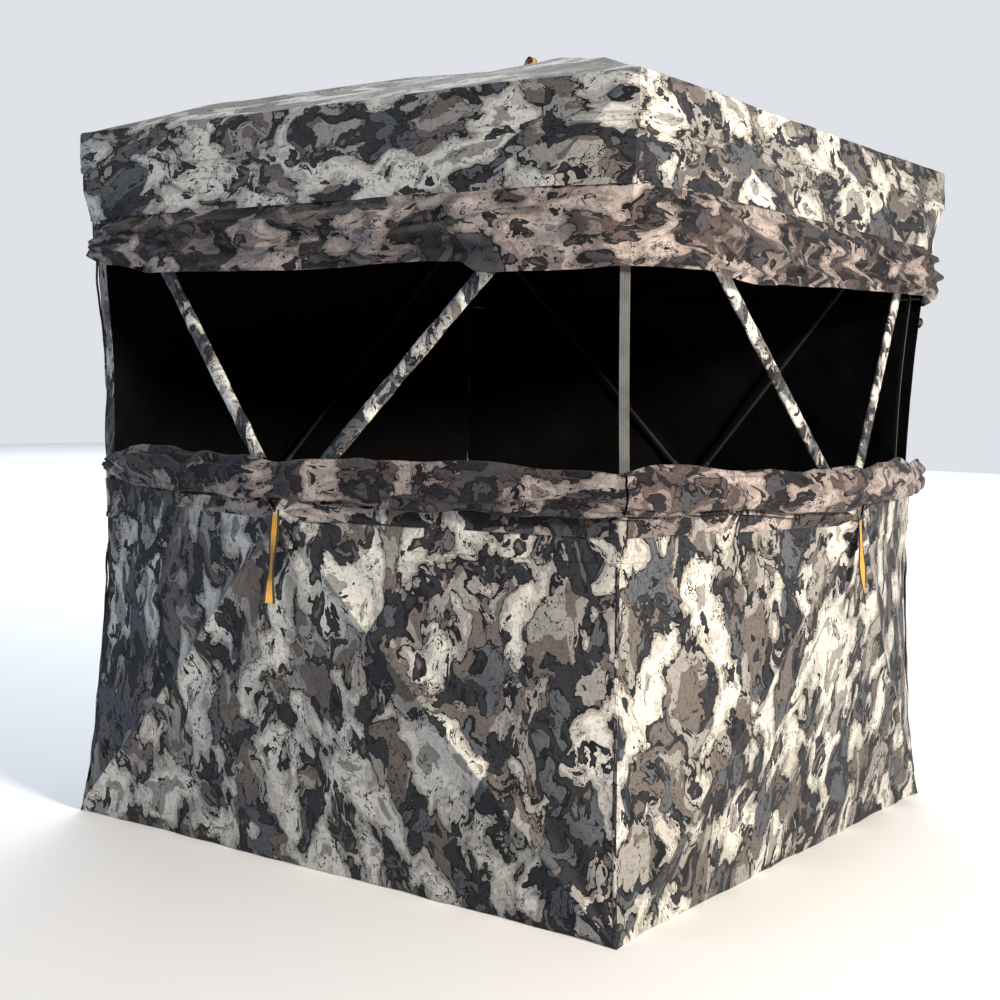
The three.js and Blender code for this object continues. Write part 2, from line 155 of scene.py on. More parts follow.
def crease(point, size, shift):
    """Narrow soft ridges: noise folded about its middle, like cloth that has been packed in a bag."""
    return 1.0 - min(abs(wander(point, size, shift)) * 3.2, 1.0)


def wrinkle(point):
    """How far the taut cloth stands off its flat facet: broad sags, tension lines and packing creases."""
    sag = 0.0075 * wander(point, 0.36) + 0.0030 * wander(point, 0.12, 7.0)
    run = point.x + point.y if point.x * point.y < 0 else point.x - point.y
    slant = Vector((run, run * 0.3, point.z * 2.4 + run * 1.6))
    return sag + 0.0026 * wander(slant, 0.15, 3.0) + 0.0024 * crease(point, 0.30, 21.0)


# %% [markdown]
# A finish is a small tree of nodes, and most of the finishes here are the same few nodes again: noise in
# object coordinates, a colour ramp, a mix and a bump. Each gets a short function, so that a finish can
# then be read as a list of what it is made of.

# %% Material helpers
def start_material(name):
    material = bpy.data.materials.new(name)
    material.use_nodes = True
    tree = material.node_tree
    return material, tree.nodes, tree.links, tree.nodes["Principled BSDF"]


def object_coordinates(nodes, links, scale=(1, 1, 1), location=(0, 0, 0)):
    source = nodes.new("ShaderNodeTexCoord")
    mapping = nodes.new("ShaderNodeMapping")
    mapping.inputs["Scale"].default_value = scale
    mapping.inputs["Location"].default_value = location
    links.new(source.outputs["Object"], mapping.inputs["Vector"])
    return mapping.outputs["Vector"]


def noise_node(nodes, links, vector, scale, detail=4.0, roughness=0.55):
    texture = nodes.new("ShaderNodeTexNoise")
    texture.inputs["Scale"].default_value = scale
    texture.inputs["Detail"].default_value = detail
    texture.inputs["Roughness"].default_value = roughness
    links.new(vector, texture.inputs["Vector"])
    return texture


def ramp_node(nodes, links, value, stops, mode="CONSTANT"):
    ramp = nodes.new("ShaderNodeValToRGB")
    ramp.color_ramp.interpolation = mode
    elements = ramp.color_ramp.elements
    while len(elements) < len(stops):
        elements.new(0.5)
    for element, (place, colour) in zip(elements, stops):
        element.position = place
        element.color = (*colour, 1.0) if len(colour) == 3 else colour
    links.new(value, ramp.inputs["Fac"])
    return ramp.outputs["Color"]


def mix_colour(nodes, links, share, first, second, blend="MIX"):
    mix = nodes.new("ShaderNodeMix")
    mix.data_type = "RGBA"
    mix.blend_type = blend
    for socket, value in ((mix.inputs["Factor"], share), (mix.inputs[6], first), (mix.inputs[7], second)):
        if hasattr(value, "links"):
            links.new(value, socket)
        else:
            socket.default_value = value if isinstance(value, (int, float)) else (*value, 1.0)
    return mix.outputs[2]


def bump_from(nodes, links, surface, height, strength, distance):
    bump = nodes.new("ShaderNodeBump")
    bump.inputs["Strength"].default_value = strength
    bump.inputs["Distance"].default_value = distance
    links.new(height, bump.inputs["Height"])
    links.new(bump.outputs["Normal"], surface.inputs["Normal"])


# %% [markdown]
# Real camouflage print is ragged: nested patches with dark edges, torn along one direction. Nested
# patches are what a noise texture gives when its value is cut into steps, so a stepped colour ramp does
# most of the work. The noise's own coordinates are pushed about by a second noise, which tears the
# edges, and three more layers and thin dark branches are printed on top.

# %% The camouflage print
PRINT = {
    "ink": (0.007, 0.007, 0.009),
    "charcoal": (0.021, 0.023, 0.028),
    "slate": (0.068, 0.075, 0.086),
    "mauve": (0.102, 0.089, 0.084),
    "stone": (0.215, 0.208, 0.198),
    "cream": (0.345, 0.335, 0.308),
    "pale": (0.465, 0.460, 0.430),
}


def shade(tones, factor, tint=(1.0, 1.0, 1.0)):
    return {key: tuple(c * factor * t for c, t in zip(tone, tint)) for key, tone in tones.items()}


def torn_coordinates(nodes, links, stretch):
    """Coordinates pushed about twice: broadly, so that shapes lean, and finely, so that edges tear."""
    vector = object_coordinates(nodes, links, stretch)
    for scale, detail, reach in ((6.5, 2.0, 0.15), (34.0, 3.0, 0.036)):
        push = noise_node(nodes, links, vector, scale, detail, 0.6)
        add = nodes.new("ShaderNodeVectorMath")
        add.operation = "MULTIPLY_ADD"
        links.new(push.outputs["Color"], add.inputs[0])
        add.inputs[1].default_value = (reach, reach, reach)
        links.new(vector, add.inputs[2])
        vector = add.outputs["Vector"]
    return vector


def print_layer(nodes, links, under, torn, scale, shift, edge, stops):
    """Prints one set of shapes over what is under it. The shapes start at edge, with the first colour."""
    moved = nodes.new("ShaderNodeVectorMath")
    moved.operation = "ADD"
    links.new(torn, moved.inputs[0])
    moved.inputs[1].default_value = (shift, shift * 0.7, shift * 1.3)
    value = noise_node(nodes, links, moved.outputs["Vector"], scale, 2.5, 0.5).outputs["Fac"]
    mask = ramp_node(nodes, links, value, [(0.0, (0, 0, 0)), (edge, (1, 1, 1))])
    colour = ramp_node(nodes, links, value, [(0.0, stops[0][1])] + stops[1:])
    return mix_colour(nodes, links, mask, under, colour)


def camouflage(name, tones, stretch=(1.0, 1.0, 0.66), patch=9.0, roughness=0.82):
    material, nodes, links, surface = start_material(name)
    torn = torn_coordinates(nodes, links, stretch)
    base = noise_node(nodes, links, torn, patch * 0.9, 2.5, 0.5).outputs["Fac"]
    printed = ramp_node(nodes, links, base, [
        (0.0, tones["slate"]), (0.43, tones["ink"]), (0.445, tones["mauve"]), (0.53, tones["stone"]),
        (0.61, tones["mauve"])])
    printed = print_layer(nodes, links, printed, torn, patch * 1.15, 3.7, 0.530, [
        (0.530, tones["ink"]), (0.546, tones["charcoal"]), (0.615, tones["ink"]), (0.630, tones["slate"])])
    printed = print_layer(nodes, links, printed, torn, patch, 8.1, 0.500, [
        (0.500, tones["ink"]), (0.514, tones["stone"]), (0.540, tones["cream"]), (0.585, tones["pale"]),
        (0.660, tones["stone"])])
    printed = print_layer(nodes, links, printed, torn, patch * 2.1, 12.9, 0.600, [
        (0.600, tones["ink"]), (0.618, tones["charcoal"]), (0.680, tones["mauve"])])
    branch_at = noise_node(nodes, links, torn, patch * 1.5, 4.0, 0.62)
    branch = ramp_node(nodes, links, branch_at.outputs["Fac"], [
        (0.0, (0, 0, 0)), (0.492, (1, 1, 1)), (0.503, (0, 0, 0))])
    printed = mix_colour(nodes, links, branch, printed, tones["ink"])
    at = object_coordinates(nodes, links)
    grain = noise_node(nodes, links, at, 130.0, 4.0, 0.75)
    speckle = ramp_node(nodes, links, grain.outputs["Fac"], [
        (0.34, (0.55, 0.55, 0.56)), (0.47, (0.98, 0.98, 0.98)), (0.70, (1.22, 1.20, 1.16))], "LINEAR")
    printed = mix_colour(nodes, links, 1.0, printed, speckle, "MULTIPLY")
    links.new(printed, surface.inputs["Base Color"])
    surface.inputs["Roughness"].default_value = roughness
    surface.inputs["Specular IOR Level"].default_value = 0.15
    surface.inputs["Sheen Weight"].default_value = 0.06
    surface.inputs["Sheen Roughness"].default_value = 0.5
    weave = noise_node(nodes, links, at, 620.0, 2.0, 0.5)
    bump_from(nodes, links, surface, weave.outputs["Fac"], 0.25, 0.0006)
    return material


# %% [markdown]
# Moulded nylon, drawn wire, glass fibre and woven tape differ mostly in tone, roughness and the size of
# their grain. One function makes them all: a slow change of tone, as handling leaves, and a fine bump.

# %% Plain finishes
def plain_material(name, colour, roughness, metallic=0.0, grain_scale=400.0, grain=0.2, variation=0.25,
                   specular=0.5):
    """One finish with a grain and a slow change of tone, for moulded, drawn and woven pieces."""
    material, nodes, links, surface = start_material(name)
    at = object_coordinates(nodes, links)
    slow = noise_node(nodes, links, at, 14.0, 4.0, 0.6)
    low = tuple(c * (1 - variation) for c in colour)
    high = tuple(min(c * (1 + variation), 1.0) for c in colour)
    tone = ramp_node(nodes, links, slow.outputs["Fac"], [(0.32, low), (0.68, high)], "LINEAR")
    links.new(tone, surface.inputs["Base Color"])
    surface.inputs["Roughness"].default_value = roughness
    surface.inputs["Metallic"].default_value = metallic
    surface.inputs["Specular IOR Level"].default_value = specular
    fine = noise_node(nodes, links, at, grain_scale, 2.0, 0.5)
    bump_from(nodes, links, surface, fine.outputs["Fac"], grain, 0.0005)
    return material


outer_cloth = camouflage("camouflage_cover_cloth", PRINT)
band_print = camouflage("camouflage_band_cloth", PRINT, (0.68, 0.68, 1.15))
# Painted light: the sleeves take the cover's print 1.3 times lighter, as if lit by the sun that the drape
# keeps off them.
painted_light_sleeve_cloth = camouflage("camouflage_sleeve_cloth_painted_light", shade(PRINT, 1.3), (1.0, 1.0, 0.7), 16.0)
# Painted shade: the curtain cloth takes the print at 0.59 of its brightness, for the shade under the eave
# band. The warm grey tint is the cloth's own colour.
WARM_GREY = (1.08, 0.945, 0.965)
painted_shade_window_cloth = camouflage("window_curtain_cloth_painted_shade", shade(PRINT, 0.59, WARM_GREY), (0.7, 0.7, 1.2), 10.0, 0.9)
black_coat = plain_material("black_inner_coating", (0.0035, 0.0035, 0.004), 0.95, specular=0.05)
grey_webbing = plain_material("grey_corner_webbing", (0.075, 0.075, 0.078), 0.8)
amber_webbing = plain_material("amber_pull_webbing", (0.46, 0.235, 0.035), 0.7, grain_scale=900.0)
dark_edge = plain_material("dark_webbing_edge", (0.020, 0.018, 0.016), 0.75)
seam_binding = camouflage("seam_binding_cloth", shade(PRINT, 0.85), (1.0, 1.0, 0.62), 7.0)
pack_cloth = plain_material("black_pack_cloth", (0.022, 0.022, 0.024), 0.8)
hub_nylon = plain_material("moulded_hub_nylon", (0.020, 0.020, 0.022), 0.42, grain_scale=260.0)
rod_glass = plain_material("glass_fibre_rod", (0.022, 0.023, 0.026), 0.55, grain_scale=150.0, specular=0.3)
zinc_wire = plain_material("zinc_plated_steel", (0.62, 0.63, 0.65), 0.32, 1.0, 120.0)
zip_tape_cloth = plain_material("zip_tape", (0.015, 0.015, 0.016), 0.7)
print("finishes:", len(bpy.data.materials))

# %% [markdown]
# A sheet starts as a grid, because a grid already has the rows and columns that cloth has. Each row and
# column is moved to its place on the cover, the points that fall together are merged, and Solidify gives
# the cloth its thickness inwards, with its black coating on the inner face.

# %% Cloth helpers
CLOTH = 0.0012
THIN_CLOTH = 0.0009         # the curtains and the drape
WEBBING = 0.0016


def clear_selection():
    bpy.ops.object.select_all(action="DESELECT")


def steps(low, high, count):
    return [low + (high - low) * i / count for i in range(count + 1)]


def apply_modifier(piece, kind, **settings):
    modifier = piece.modifiers.new(kind.lower(), kind)
    for key, value in settings.items():
        setattr(modifier, key, value)
    clear_selection()
    piece.select_set(True)
    bpy.context.view_layer.objects.active = piece
    bpy.ops.object.modifier_apply(modifier=modifier.name)


def sheet_piece(name, columns, rows, place, outside, inside=None, thickness=CLOTH, offset=-1.0):
    clear_selection()
    bpy.ops.mesh.primitive_grid_add(x_subdivisions=len(columns) - 1, y_subdivisions=len(rows) - 1, size=2)
    piece = bpy.context.active_object
    piece.name = name
    piece.data.name = name
    for vertex in piece.data.vertices:
        i = round((vertex.co.x + 1) / 2 * (len(columns) - 1))
        j = round((vertex.co.y + 1) / 2 * (len(rows) - 1))
        vertex.co = place(columns[i], rows[j])
    bpy.ops.object.mode_set(mode="EDIT")
    bpy.ops.mesh.select_all(action="SELECT")
    bpy.ops.mesh.remove_doubles(threshold=0.00005)
    bpy.ops.object.mode_set(mode="OBJECT")
    piece.data.materials.append(outside)
    piece.data.materials.append(inside or outside)
    if thickness:
        apply_modifier(piece, "SOLIDIFY", thickness=thickness, offset=offset, material_offset=1,
                       material_offset_rim=0, use_even_offset=False)
    clear_selection()
    piece.select_set(True)
    bpy.ops.object.shade_smooth_by_angle(angle=math.radians(50))
    return piece


def facet_u(kind, s, z):
    """s from 0 to 1 across a facet: the one between two rods, or the one beside a corner."""
    low = from_hub(z)
    if kind == "middle":
        return (2 * s - 1) * low
    return low + (1 - low) * s if kind == "right" else -(low + (1 - low) * (1 - s))


OUTWARD = {"front": Vector((0, -1, 0)), "right": Vector((1, 0, 0)), "back": Vector((0, 1, 0)),
           "left": Vector((-1, 0, 0))}
BEND_START = 0.78           # how far along the wall a sideways bend starts, just past the corner line


def bend_with_hub(piece, side, kind, high):
    """Bakes the piece's transform into its mesh; the cloth is not bent with its hub."""
    if kind == "middle":
        start = EAVE if high else 0
        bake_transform(piece)
    else:
        start = turned(side) @ Vector((BEND_START if kind == "right" else -BEND_START, 0, 0))
        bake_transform(piece)


# %% [markdown]
# The lower walls. Each is three panels that meet over the two lower rods. A lapped seam crosses each
# wall under the hub, as a small step in the cloth.

# %% Lower walls
def lap(z, seam):
    """A lapped seam: the upper cloth lies over the lower, with a raised fold between two stitch lines."""
    away = z - seam
    if abs(away) < 0.0065:
        return 0.0034
    return 0.0018 if away > 0 else 0.0


def hub_pucker(side, u, z):
    """Folds that fan out from the hub, strongest close to it."""
    across, up = u * HALF_TOP, z - HUB_Z
    away = math.hypot(across, up)
    angle = math.atan2(up, across)
    fade = math.exp(-away / 0.30) * min(away / 0.05, 1.0)
    bend = 1.6 * wander(Vector((across, up, SIDES.index(side))), 0.3, 4.0)
    return 0.0085 * fade * math.sin(9 * angle + 2 * SIDES.index(side) + bend)


def corner_pull(side, u, z):
    """Short creases that run into the bottom corners."""
    across, up = (1 - abs(u)) * HALF_BASE, z
    away = math.hypot(across, up)
    angle = math.atan2(up, across + 0.001)
    fade = math.exp(-away / 0.28) * min(away / 0.06, 1.0) * min(across / 0.05, 1.0)
    return 0.0080 * fade * math.sin(11 * angle + SIDES.index(side))


def low_seam_z(u):
    """The seam dips under the hub and rises to the corners."""
    return LOW_SEAM - SEAM_DIP * math.exp(-((u / 0.25) ** 2))


def rod_ridge(u, z):
    """The cloth stands up a little over each rod, and falls back beside it."""
    away = (abs(u) - from_hub(z)) * HALF_TOP
    hollow = 0.0030 * math.exp(-(((abs(away) - 0.075) / 0.045) ** 2))
    return 0.0065 * math.exp(-((away / 0.020) ** 2)) - hollow


def tension(side, u, z):
    """Long shallow folds along the rods' lines, where the cloth is stretched between hub and corner."""
    away = (abs(u) - from_hub(z)) * HALF_TOP
    along_rod = math.hypot(abs(u) * HALF_TOP, z - HUB_Z)
    place = Vector((away / 0.085, along_rod / 0.75 + 3.1 * SIDES.index(side), 5.0 if u > 0 else 9.0))
    edge = min((1 - abs(u)) / 0.06, 1.0)
    return 0.0060 * noise.noise(place) * edge


def lower_cloth(side, u, z):
    base = wall_point(side, u, z)
    out = wrinkle(base) + hub_pucker(side, u, z) + corner_pull(side, u, z) + lap(z, low_seam_z(u))
    return wall_point(side, u, z, out + rod_ridge(u, z) + tension(side, u, z))


def seam_rows(low, high, count, seams):
    """Even rows, with closer ones at each seam so that its fold has edges."""
    rows = set(steps(low, high, count))
    for seam in seams:
        rows |= {seam + shift for shift in (-0.0075, -0.006, 0.0, 0.006, 0.0075)
                 if low < seam + shift < high}
    return sorted(rows)


SEAM_DIP = 0.012
WALL_ROWS = seam_rows(0.0, HUB_Z, 44, [LOW_SEAM, LOW_SEAM - SEAM_DIP])
SIDE_ROWS = WALL_ROWS[:-1] + [HUB_Z, 0.833, SILL]
SHARES = steps(0, 1, 44)


def wall_panel(side, part, kind, rows, surface, nodes, high=False, outside=None):
    piece = sheet_piece(f"{side}_{part}_{kind}", SHARES, rows,
                        lambda s, z: surface(side, facet_u(kind, s, z), z),
                        outside or outer_cloth, black_coat)
    bend_with_hub(piece, side, kind, high)
    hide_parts(*nodes)
    return piece


for side in ("front", "right", "back"):
    node = [f"{side}_lower_wall"]
    wall_panel(side, "lower_wall", "middle", WALL_ROWS, lower_cloth, node)
    for kind in ("left", "right"):
        wall_panel(side, "lower_wall", kind, SIDE_ROWS, lower_cloth, node)
print("lower walls:", sum(len(o.data.polygons) for o in bpy.data.objects if "lower_wall_" in o.name), "faces")

# %% [markdown]
# The left wall is solid cloth up to the eave band. The facet between its lower back rod and the corner
# is the door flap, a piece of its own that turns on the rod's line. The cloth above it laps over the zip.

# %% The door wall
LEFT_TOP = 1.500
LEFT_ROWS = seam_rows(HUB_Z, LEFT_TOP, 36, [1.20])


def left_cloth(side, u, z):
    """The door wall lies flat beside the zip and the flap's hinge, and slips behind the eave band."""
    base = wall_point(side, u, z)
    loose = wrinkle(base) + hub_pucker(side, u, z) + corner_pull(side, u, z) + rod_ridge(u, z)
    loose += tension(side, u, z)
    if u < 0:
        loose *= min(abs(z - ZIP_Z) / 0.05, 1.0)
        if z < HUB_Z:
            loose *= min(abs(-u - from_hub(z)) * HALF_TOP / 0.09, 1.0)
    behind = 0.003 * min(max((z - 1.44) / 0.04, 0.0), 1.0)
    seam = lap(z, low_seam_z(u)) if z < HUB_Z else 0.0
    return wall_point(side, u, z, loose + seam - behind)


wall_panel("left", "wall_low", "middle", WALL_ROWS, left_cloth, ["left_wall"])
wall_panel("left", "wall_low", "right", WALL_ROWS, left_cloth, ["left_wall"])
wall_panel("left", "wall_high", "middle", LEFT_ROWS, left_cloth, ["left_wall"], True)
for kind in ("left", "right"):
    wall_panel("left", "wall_high", kind, LEFT_ROWS, left_cloth, ["left_wall"], True)


HINGE_HEM = 0.022        # the flap starts this share of the half width beside its rod


def door_reach(z):
    """How far from the hub's line the flap starts, as a share of the half width."""
    return max(from_hub(z) + HINGE_HEM, 0.055)


def door_cloth(s, z):
    """The flap stops short of the rod, the zip, the corner and the ground."""
    z = 0.006 + z * (HUB_Z - 0.012) / HUB_Z
    near, far = door_reach(z), 0.985
    return left_cloth("left", -(near + (far - near) * (1 - s)), z)


def hinge_hem(s, z):
    """The strip of wall between the rod and the flap's edge."""
    near = from_hub(z)
    return left_cloth("left", -min(near + (door_reach(z) - 0.003 - near) * (1 - s), 1.0), z)


hem_strip = sheet_piece("left_wall_hinge_hem", steps(0, 1, 3), WALL_ROWS, hinge_hem, outer_cloth, black_coat)
bend_with_hub(hem_strip, "left", "left", False)
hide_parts("left_wall")

door_rows = [z for z in WALL_ROWS if z > 0.03]
door = sheet_piece("door_flap_cloth", SHARES, door_rows, door_cloth, outer_cloth, black_coat)
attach(door, "door_flap_body")
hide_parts("door_flap")
print("door wall: flap of", len(door.data.polygons), "faces,", len(door_rows), "rows")

# %% [markdown]
# The eave band hangs between the roof's edge and the window drape, with one lapped seam half way. It
# goes round all four walls, in a middle and two side panels on each.

# %% Eave band
BAND_ROWS = seam_rows(BAND_LOW - 0.004, EAVE - 0.002, 14, [BAND_SEAM])


def band_cloth(side, u, z):
    base = wall_point(side, u, z)
    rise = min(max((z - BAND_LOW) / (EAVE - BAND_LOW), 0), 1)
    lying = Vector((base.x * 0.3, base.y * 0.3, z + 0.03 * wander(Vector((base.x, base.y, 0)), 0.4, 19.0)))
    swell = (0.006 + 0.007 * wander(lying, 0.07, 23.0)) * math.sin(math.pi * rise)
    return wall_point(side, u, z, 0.002 + swell + wrinkle(base) * (1.1 - 0.5 * rise) + lap(z, BAND_SEAM))


for side in SIDES:
    for kind, width in (("middle", 1.60), ("left", 0.20), ("right", 0.20)):
        wall_panel(side, "eave_band", kind, BAND_ROWS, band_cloth, ["eave_band"], True,
                   band_print)
print("eave band:", len(BAND_ROWS), "rows from", BAND_ROWS[0], "to", BAND_ROWS[-1])

# %% [markdown]
# The roof is a low tent on four bowed rods. Its four facets meet on the rods' ridges and at the hub,
# which lifts a small round crown. The cloth sags a little between the rods.

# %% Roof
def roof_height(x, y):
    share = min(max(abs(x), abs(y)) / HALF_TOP, 1)
    crown = 0.004 * math.exp(-((math.hypot(x, y) / 0.07) ** 2))
    return EAVE + ROOF_RISE * (1 - share) + 4 * ROOF_BOW * share * (1 - share) - crown


def roof_facet(side):
    turn = turned(side)

    def place(s, share):
        x, y = (2 * s - 1) * share * HALF_TOP, -share * HALF_TOP
        sag = 0.012 * math.sin(math.pi * s) * math.sin(math.pi * share)
        flat = turn @ Vector((x, y, roof_height(x, y) - sag))
        edge = min(1.0, (1 - share) * 12 + 0.3)
        flat.z += wrinkle(flat) * 1.2 * edge
        return flat

    piece = sheet_piece(f"roof_{side}_facet", SHARES, steps(0.0, 1.0, 40)[::-1], place,
                        band_print, black_coat)
    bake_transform(piece)
    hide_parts("roof_panel")


for side in SIDES:
    roof_facet(side)
print("roof: tip at", round(roof_height(0, 0), 3))

# %% [markdown]
# Bindings cover the raw edges: one round the eave where the roof meets the band, and one down each
# corner. They are folded tapes, a few millimetres proud, rounded over the edge.

# %% Edge bindings
def eave_tape(side):
    def place(u, turn_share):
        angle = math.radians(-70 + 200 * turn_share)
        base = wall_point(side, u, EAVE, 0.002)
        lift = 0.006 * math.sin(angle)
        out = 0.0045 * math.cos(angle)
        point = wall_point(side, u, EAVE, out)
        point.z = EAVE - 0.003 + lift + 0.5 * wrinkle(base)
        return point

    piece = sheet_piece(f"{side}_eave_binding", steps(-1, 1, 60), steps(0, 1, 8), place, band_print)
    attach(piece, "root")


def corner_tape(name, turns, low, high, out):
    def place(share, z):
        angle = math.radians(-100 + 200 * share)
        half = corner_half(z) + out
        wobble = wrinkle(Vector((half, -half, z)))
        spread = Vector((math.cos(angle - math.pi / 4), math.sin(angle - math.pi / 4), 0)) * 0.0045
        point = Vector((half - 0.004 + wobble, -half + 0.004 - wobble, z)) + spread
        return Matrix.Rotation(turns * math.pi / 2, 3, "Z") @ point

    piece = sheet_piece(name, steps(0, 1, 8), steps(low, high, 50), place, seam_binding)
    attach(piece, "root")


CORNERS = {"front_right": 0, "back_right": 1, "back_left": 2, "front_left": 3}
for side in SIDES:
    eave_tape(side)
for name, turns in CORNERS.items():
    corner_tape(f"{name}_low_binding", turns, 0.001, SILL - 0.004, 0.001)
    corner_tape(f"{name}_high_binding", turns, BAND_LOW - 0.002, EAVE - 0.006, 0.004)
for name in ("front_left", "back_left"):
    corner_tape(f"{name}_middle_binding", CORNERS[name], SILL - 0.004, BAND_LOW - 0.002, 0.001)

# %% [markdown]
# The front window ends at the left corner, where the next wall has none. A narrow facing of the cover's
# cloth runs down that side of it and covers the opening's raw edge.

# %% Window edge facing
FACING = 0.055              # its share of the half width


def facing_cloth(share, z):
    u = -(1.0 - FACING * share)
    return wall_point("front", u, z, 0.001 + 0.6 * wrinkle(wall_point("front", u, z)))


facing = sheet_piece("front_window_edge", steps(0, 1, 8), steps(SILL - 0.02, BAND_LOW, 60), facing_cloth,
                     outer_cloth, black_coat)
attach(facing, "root")
print("facing: from", SILL - 0.02, "to", BAND_LOW)

# %% [markdown]
# Above the windows the spare cloth is gathered into a drape. It hangs from the band's lower edge in
# long sagging folds, its lower edge rises and dips between its hooks, and it turns under into a hem.

# %% Window drape
# The drape's lower edge, as (place along the wall, height).
DRAPE_EDGE = {
    "front": [(-1.0, 1.462), (-0.96, 1.420), (-0.90, 1.375), (-0.6, 1.345), (0.0, 1.338), (0.42, 1.346),
              (0.54, 1.344), (0.62, 1.318), (0.75, 1.322), (1.0, 1.332)],
    "right": [(-1.0, 1.332), (-0.75, 1.334), (-0.55, 1.316), (-0.35, 1.326), (0.0, 1.338), (0.45, 1.350),
              (0.85, 1.362), (1.0, 1.345)],
    "back": [(-1.0, 1.345), (-0.5, 1.332), (0.0, 1.338), (0.5, 1.330), (0.9, 1.340), (1.0, 1.346)],
}


def between(points, x):
    for (x0, y0), (x1, y1) in zip(points, points[1:]):
        if x <= x1:
            share = min(max((x - x0) / (x1 - x0), 0), 1)
            share = share * share * (3 - 2 * share)
            return y0 + (y1 - y0) * share
    return points[-1][1]


TURN_IN = 0.88              # where a tuck stops swelling and turns in
DRAPE_MIDDLE = 1.335        # the height of most of the lower edge


def tuck(phase):
    """A fold that swells slowly and turns in sharply, once for each whole step of phase."""
    within = phase - math.floor(phase)
    return within ** 1.5 if within < TURN_IN else TURN_IN ** 1.5 * (1 - within) / (1 - TURN_IN)


def drape_cloth(side, u, share):
    """share runs from 0 at the band, to 0.8 at the lower edge, and on round the hem to 1."""
    edge = between(DRAPE_EDGE[side], u)
    drop = min(share / 0.8, 1.0)
    hem = max((share - 0.8) / 0.2, 0.0)
    z = DRAPE_TOP + (edge - DRAPE_TOP) * drop
    base = wall_point(side, u, z)
    run = Vector((base.x, base.y, 0.0))
    swag = 0.055 * wander(run, 0.42, 5.0) + 0.016 * wander(run, 0.13, 15.0)
    lying = Vector((run.x * 0.22, run.y * 0.22, z + swag))
    layers = 2.7 * drop + 0.9 * wander(run, 0.60, 41.0) + 0.25 * wander(run, 0.15, 43.0)
    fold = 0.013 * tuck(layers) + 0.025 * wander(lying, 0.046, 11.0) + 0.014 * crease(lying, 0.050, 2.0)
    fold += 0.006 * wander(run + Vector((0, 0, z * 1.6)), 0.05, 31.0)
    belly = 0.008 * math.sin(math.pi * drop) + 0.010 * drop
    ends = 1 - 0.92 * math.exp(-(((1 - abs(u)) / 0.05) ** 2))
    out = 0.001 + ends * (belly + fold * min(1.0, 5 * drop)) * (1 - 0.9 * hem) - 0.003 * hem
    return wall_point(side, u, z + 0.022 * hem - 0.004 * math.sin(math.pi * hem), max(out, -0.004))


DRAPE_SHARES = steps(0, 0.8, 46) + [0.85, 0.90, 0.95, 1.0]
for side in ("front", "right", "back"):
    for kind in ("middle", "left", "right"):
        def place(s, share, side=side, kind=kind):
            z = DRAPE_TOP + (DRAPE_MIDDLE - DRAPE_TOP) * min(share / 0.8, 1.0)
            return drape_cloth(side, facet_u(kind, s, z), share)

        count = 90 if kind == "middle" else 40
        piece = sheet_piece(f"{side}_window_drape_{kind}", steps(0, 1, count), DRAPE_SHARES[::-1], place,
                            painted_shade_window_cloth, black_coat, thickness=THIN_CLOTH)
        bend_with_hub(piece, side, kind, True)
        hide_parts("window_drape")
print("drape:", sum(len(o.data.polygons) for o in bpy.data.objects if "_window_drape_" in o.name), "faces")

# %% [markdown]
# Below the windows the curtain is let down and bunched. In section it is one cloth that goes up behind,
# over the top, down the front and back under itself, so a spiral line with ripples, swept along the
# wall, gives real folds with an open edge. Each roll rides with its curtain slide.

# %% Bunched curtains
ROLL_Z = 0.885
ROLL_LOW, ROLL_HIGH = 0.824, 0.948
ROLL_ENDS = {"front": (-0.985, 0.997), "right": (-0.997, 0.985)}
SKIRT_LOW, SKIRT_HIGH = 0.800, 0.900


def roll_cloth(side, u, share):
    """share runs round the bundle about once and a quarter, from under its back to under its front."""
    angle = math.radians(-115 - 420 * share)
    base = wall_point(side, u, ROLL_Z)
    run = Vector((base.x, base.y, 0))
    lift = 0.010 * wander(run, 0.40, 9.0)
    far_end = math.exp(-(((u + 1.0) / 0.16) ** 2)) if side == "front" else 0.0
    tight = 1.0 - 0.55 * far_end - 0.12 * math.exp(-(((abs(u) - 1.0) / 0.05) ** 2))
    tight -= 0.22 * math.exp(-((u / 0.06) ** 2))
    tight *= 1.0 + 0.16 * wander(run, 0.28, 13.0)
    twist = angle + 2.2 * wander(run, 0.55, 6.0) + 0.5 * wander(run, 0.12, 16.0)
    folded = tuck(3.2 * share + 1.1 * wander(run, 0.60, 51.0) + 0.2 * wander(run, 0.13, 53.0)) - 0.4
    strands = 0.5 * math.sin(4 * twist) + 0.35 * math.sin(7 * twist + 1.0) + 0.2 * math.sin(11 * twist + 2.0)
    lump = wander(Vector((run.x, run.y, share * 0.5)), 0.11, 4.0)
    ripple = 1 + 0.12 * strands + 0.12 * lump + 0.24 * folded
    inward = 1 - 0.20 * share
    half_high = 0.050 * tight * ripple * inward
    half_deep = 0.022 * tight * (0.5 + 0.5 * ripple) * inward
    out = 0.025 * tight + half_deep * math.cos(angle) + 0.005 * strands * max(math.cos(angle), 0.0)
    point = wall_point(side, u, ROLL_Z, max(out, 0.004))
    point.z = min(max(ROLL_Z + lift + half_high * math.sin(angle), ROLL_LOW), ROLL_HIGH)
    return point


